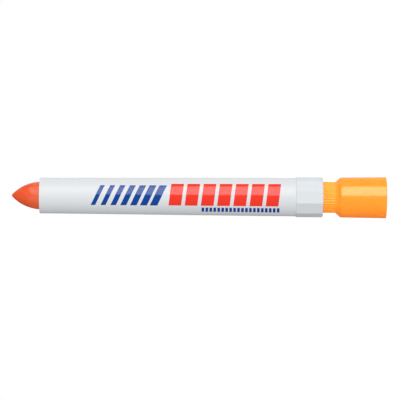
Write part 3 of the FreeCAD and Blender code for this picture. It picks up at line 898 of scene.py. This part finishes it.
@dataclass
class Knob:
    """The knob: a hollow flared grip, a cone, a ribbed neck, and a journal with a hexagonal hole."""

    rear_radius: float = 8.8
    front_radius: float = 8.55
    wall: float = 1.2
    rim_round: float = 0.15
    grip_length: float = 19.5
    shoulder_length: float = 2.1
    shoulder_round: float = 0.6
    neck_radius: float = 6.65
    neck_bore: float = 5.25
    neck_inset: float = 2.1
    web: float = 3.0
    ribs: int = 36
    rib_depth: float = 0.26
    rib_steps: int = 12
    journal: float = 4.9
    seal_floor: float = 3.95
    seal_setback: float = 4.0
    seal_width: float = 1.2
    hole_flat: float = 2.85
    hole_round: float = 0.08
    edge_round: float = 0.1
    lip_round: float = 0.05
    end_round: float = 0.15
    hollow_round: float = 0.3
    throat_round: float = 0.2
    step: float = 0.04

    def corners(self) -> list[Corner]:
        """Returns the half section's corners, up the outside and down the hole and the hollow."""
        extent = Extent.of("knob")
        neck_foot = self.grip_length + self.shoulder_length
        neck_front = Extent.of("collar").low + self.neck_inset
        seal_middle = extent.high - self.seal_setback
        seal_low = seal_middle - self.seal_width / 2
        seal_high = seal_middle + self.seal_width / 2
        return [
            Corner(self.rear_radius, extent.low, self.rim_round),
            Corner(self.front_radius, self.grip_length, self.shoulder_round),
            Corner(self.neck_radius, neck_foot),
            Corner(self.neck_radius, neck_foot + self.step, outline=Outline.RIBS),
            Corner(self.neck_radius, neck_front, self.edge_round, Outline.RIBS),
            Corner(self.journal, neck_front),
            Corner(self.journal, seal_low, self.lip_round),
            Corner(self.seal_floor, seal_low, self.edge_round),
            Corner(self.seal_floor, seal_high, self.edge_round),
            Corner(self.journal, seal_high, self.lip_round),
            Corner(self.journal, extent.high, self.end_round),
            Corner(self.hole_flat, extent.high, self.lip_round, Outline.HEXAGON),
            Corner(self.hole_flat, neck_front - self.web, self.lip_round, Outline.HEXAGON),
            Corner(self.neck_bore, neck_front - self.web, self.hollow_round),
            Corner(self.neck_bore, neck_foot, self.throat_round),
            Corner(self.front_radius - self.wall, self.grip_length, self.hollow_round),
            Corner(self.rear_radius - self.wall, extent.low, self.end_round),
        ]

    def ribbed(self, radius: np.ndarray, angles: np.ndarray) -> np.ndarray:
        """Returns the radius less half the rib depth times 1 + the cosine of the angle times the ribs."""
        return radius - self.rib_depth * (1 + np.cos(self.ribs * angles)) / 2

    def hexagonal(self, radius: np.ndarray, angles: np.ndarray) -> np.ndarray:
        """Returns the radius of the hole's flats."""
        return polygon_radius(angles, 6, radius, np.full_like(radius, self.hole_round))

    def build(self) -> Piece:
        """Makes the knob in place of its CAD node and returns it."""
        angles = columns(FULL_TURN / (self.ribs * self.rib_steps))
        section = Tracer().trace(self.corners())
        rules = {Outline.RIBS: self.ribbed, Outline.HEXAGON: self.hexagonal}
        piece = turn_piece("knob_moulding", section, angles, rules)
        put_on(piece, KNOB_ORANGE.material())
        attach(piece, "knob")
        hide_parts("knob")
        return piece


@dataclass(frozen=True)
class Wave:
    """A wave that runs round and along a piece: waves a turn, radians a millimetre, and its start."""

    turns: int
    climb: float
    start: float = 0.0

    def phase(self, heights: np.ndarray, angles: np.ndarray) -> np.ndarray:
        """Returns turns times the angle, plus climb times the height, plus the start."""
        return self.turns * angles + self.climb * heights + self.start


@dataclass
class PaintStick:
    """The stick of solid paint: a tail in the plunger's cup, a body, and an ogive tip.

    row is the longest step between two rows of the body in millimetres, and dents are the waves that its
    dents are worked out from.
    """

    radius: float = 5.95
    tail_radius: float = 5.25
    tail_length: float = 9.0
    tail_round: float = 0.15
    shoulder_round: float = 0.1
    ogive: float = 17.4
    nose: float = 0.85
    dent: float = 0.07
    dent_fade: float = 6.0
    dents: tuple[Wave, Wave, Wave] = (Wave(3, 0.9), Wave(5, -0.53, 1.7), Wave(2, 1.31, 0.4))
    row: float = 0.7
    flank_rows: int = 40
    nose_rows: int = 14
    column: float = 2.5

    def section(self) -> Section:
        """Returns the half section, from the tail's middle to the tip.

        The side runs into an arc of the ogive's radius, tangent to it, and that arc into the nose's.
        """
        extent = Extent.of("paint_stick")
        nose_middle = extent.high - self.nose
        rise = math.sqrt((self.ogive - self.nose) ** 2 - (self.ogive - self.radius) ** 2)
        lean = math.atan2(rise, self.ogive - self.radius)
        foot = nose_middle - rise
        shoulder = extent.low + self.tail_length
        corners = [
            Corner(0.0, extent.low),
            Corner(self.tail_radius, extent.low, self.tail_round),
            Corner(self.tail_radius, shoulder),
            Corner(self.radius, shoulder, self.shoulder_round),
            Corner(self.radius, foot),
        ]
        side = Tracer(longest=self.row).trace(corners, closed=False)
        flank = np.linspace(0, lean, self.flank_rows)[1:]
        round_tip = np.linspace(lean, math.pi / 2, self.nose_rows)[1:]
        radius = [self.radius - self.ogive + self.ogive * np.cos(flank), self.nose * np.cos(round_tip)]
        height = [foot + self.ogive * np.sin(flank), nose_middle + self.nose * np.sin(round_tip)]
        radius[-1][-1] = 0.0
        all_radius = np.concatenate([side.radius, *radius])
        all_height = np.concatenate([side.height, *height])
        return Section(all_radius, all_height, np.zeros(len(all_radius), dtype=int))

    def worn(self, heights: np.ndarray, angles: np.ndarray) -> np.ndarray:
        """Shallow dents of the rubbed paint, always inwards.

        The product of two waves and a third one are averaged, brought between 0 and 1 and squared. They
        fade out towards the tip, so that its point stays round.

        Args:
            heights: Levels in millimetres, as a column.
            angles: The directions, as a row.

        Returns:
            The change of the radius in millimetres.
        """
        first, second, third = (wave.phase(heights, angles) for wave in self.dents)
        mean = (np.sin(first) * np.sin(second) + np.cos(third)) / 2
        fade = np.clip((Extent.of("paint_stick").high - heights) / self.dent_fade, 0.0, 1.0)
        return -self.dent * fade * (0.5 * mean + 0.5) ** 2

    def build(self) -> Piece:
        """Makes the stick in place of its CAD node and returns it."""
        angles = columns(math.radians(self.column))
        piece = turn_piece("paint_stick_cast", self.section(), angles, {}, Ends.POLES, self.worn)
        put_on(piece, SolidPaint().material())
        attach(piece, "stick")
        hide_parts("paint_stick")
        return piece


@dataclass
class Works:
    """What the casings hide: the spindle, its nut, the plunger and the seal, dressed as they come."""

    pale: tuple[str, ...] = ("spindle", "drive_nut", "plunger")
    rubber: str = "seal_ring"

    def dress(self) -> list[Piece]:
        """Gives the inner CAD pieces their materials and returns the pieces."""
        inner = INNER_PALE.material()
        pieces = [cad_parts[name] for name in self.pale]
        for piece in pieces:
            put_on(piece, inner)
        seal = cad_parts[self.rubber]
        put_on(seal, Rubber().material())
        return [*pieces, seal]


@dataclass
class Studio:
    """A white set: the camera, two large soft panels above it, pale light all round and a pale floor.

    Distances of the camera and of the floor's gap are millimetres; panels, clips and the floor's size
    are metres. The second panel, the gleam, shows in reflections alone.
    """

    distance: float = 1100.0
    view_width: float = 171.5
    aim_height: float = 79.65
    aim_offset: float = -1.48
    roll: float = 0.37
    sensor: float = 36.0
    clips: tuple[float, float] = (0.01, 20.0)
    panel_distance: float = 4.0
    panel_size: tuple[float, float] = (4.1, 0.92)
    key_angle: float = 37.5
    key_power: float = 61.5
    gleam_angle: float = 45.0
    gleam_lead: float = 2.0
    gleam_power: float = 45.0
    fill: float = 0.68
    front: float = 0.47
    crown: float = 4.9
    crown_power: float = 2.0
    back: float = 1.4
    back_power: float = 6.0
    gloss_share: float = 0.3
    floor_size: float = 3.0
    floor_gap: float = 0.1
    floor_shade: float = 0.22
    floor_glow: float = 0.9

    def camera(self) -> None:
        """Sets the camera square to the axis, with +X up in the picture and the tip at its left."""
        data = bpy.data.cameras.new("camera")
        data.sensor_width = self.sensor
        data.lens = self.sensor * self.distance / self.view_width
        data.clip_start, data.clip_end = self.clips
        turn = math.radians(self.roll)
        up = Vector((math.cos(turn), 0.0, math.sin(turn)))
        back = Vector((0.0, -1.0, 0.0))
        right = up.cross(back)
        seat = Vector((self.aim_offset, -self.distance, self.aim_height)) * MM
        camera = into_scene("camera", data)
        camera.matrix_world = Matrix.Translation(seat) @ Matrix((right, up, back)).transposed().to_4x4()
        bpy.context.scene.camera = camera

    def panel(self, name: str, angle: float, lead: float, power: float) -> bpy.types.Object:
        """Hangs a large soft light over the camera and returns it.

        Args:
            name: Name of the light.
            angle: How far it hangs over the camera's own direction, in degrees.
            lead: How far it hangs from the middle of the picture towards the tip, in metres.
            power: Its power in watts.
        """
        data = bpy.data.lights.new(name, "AREA")
        data.shape = "RECTANGLE"
        data.size, data.size_y = self.panel_size
        data.energy = power
        rise = math.radians(angle)
        away = Vector((math.sin(rise), -math.cos(rise), 0.0))
        along = Vector((0.0, 0.0, 1.0))
        seat = away * self.panel_distance + along * (lead + self.aim_height * MM)
        light = into_scene(name, data)
        turned = Matrix((along.cross(away), along, away)).transposed().to_4x4()
        light.matrix_world = Matrix.Translation(seat) @ turned
        return light

    def lights(self) -> None:
        """Hangs the key, whose gleam runs along the knob, and a panel that only gleams on the paint."""
        self.panel("key", self.key_angle, 0.0, self.key_power)
        gleam = self.panel("tip gleam", self.gleam_angle, self.gleam_lead, self.gleam_power)
        gleam.visible_diffuse = False

    def surroundings(self) -> None:
        """Lights the set from all round, most from the front and from over its back, on a white ground.

        The light over the back grows with x and with the square of y, where both are above zero, and a
        narrow light straight behind, a high power of y, is there for the marker's far side. Black flags
        round the set take the light from behind and most of the rest out of the reflections, but for the
        key's.
        """
        world = bpy.data.worlds.new("surroundings")
        world.use_nodes = True
        bpy.context.scene.world = world
        graph = Graph(world.node_tree)
        x, y, _ = graph.split(graph.node("ShaderNodeTexCoord").outputs["Generated"])
        path = graph.node("ShaderNodeLightPath").outputs
        glossy = Signal(graph, path["Is Glossy Ray"])
        behind = y.most(0.0)
        over_back = x.most(0.0) * behind ** self.crown_power * self.crown
        far_side = behind ** self.back_power * (1.0 - glossy) * self.back
        flags = 1.0 - glossy * (1.0 - self.gloss_share)
        level = (self.fill - y * self.front + over_back) * flags + far_side
        soft = graph.node("ShaderNodeBackground", inputs={"Strength": level}).outputs[0]
        white = graph.node("ShaderNodeBackground", inputs={"Color": (1.0, 1.0, 1.0, 1.0)}).outputs[0]
        shares = {0: path["Is Camera Ray"], 1: soft, 2: white}
        mixed = graph.node("ShaderNodeMixShader", inputs=shares).outputs[0]
        graph.finish(mixed, "ShaderNodeOutputWorld")

    def floor(self) -> None:
        """Lays the pale floor a hair under the rim, so that the two never share a plane.

        It shows shadows but throws no light back, and its underside is clear, so that the marker also
        shows from below.
        """
        half = self.floor_size / 2
        low = -self.floor_gap * MM
        mesh = bpy.data.meshes.new("floor")
        corners = [(-half, -half, low), (half, -half, low), (half, half, low), (-half, half, low)]
        mesh.from_pydata(corners, [], [(0, 1, 2, 3)])
        floor = into_scene("floor", mesh)
        material, graph = new_material("pale floor")
        inputs = {
            "Base Color": (self.floor_shade, self.floor_shade, self.floor_shade, 1.0),
            "Roughness": 1.0,
            "Specular IOR Level": 0.0,
            "Emission Color": (1.0, 1.0, 1.0, 1.0),
            "Emission Strength": self.floor_glow,
        }
        pale = graph.principled(inputs)
        clear = graph.node("ShaderNodeBsdfTransparent").outputs[0]
        underside = graph.node("ShaderNodeNewGeometry").outputs["Backfacing"]
        graph.finish(graph.node("ShaderNodeMixShader", inputs={0: underside, 1: pale, 2: clear}).outputs[0])
        put_on(floor, material)
        for ray in ("diffuse", "glossy", "transmission", "shadow"):
            setattr(floor, f"visible_{ray}", False)

    def build(self) -> None:
        """Sets up the whole studio, with the picture's tones as they are."""
        bpy.context.scene.view_settings.view_transform = "Standard"
        self.camera()
        self.lights()
        self.surroundings()
        self.floor()


def main() -> None:
    """Builds the studio and then the marker's pieces in order, and reports each piece."""
    logging.basicConfig(level=logging.INFO, format="%(name)s: %(message)s")
    Studio().build()
    for part in (Barrel(), Collar(), Knob(), PaintStick()):
        piece = part.build()
        LOG.info("%s has %d faces", piece.name, len(piece.data.polygons))
    for piece in Works().dress():
        LOG.info("%s is dressed", piece.name)


if __name__ == "__main__":
    main()
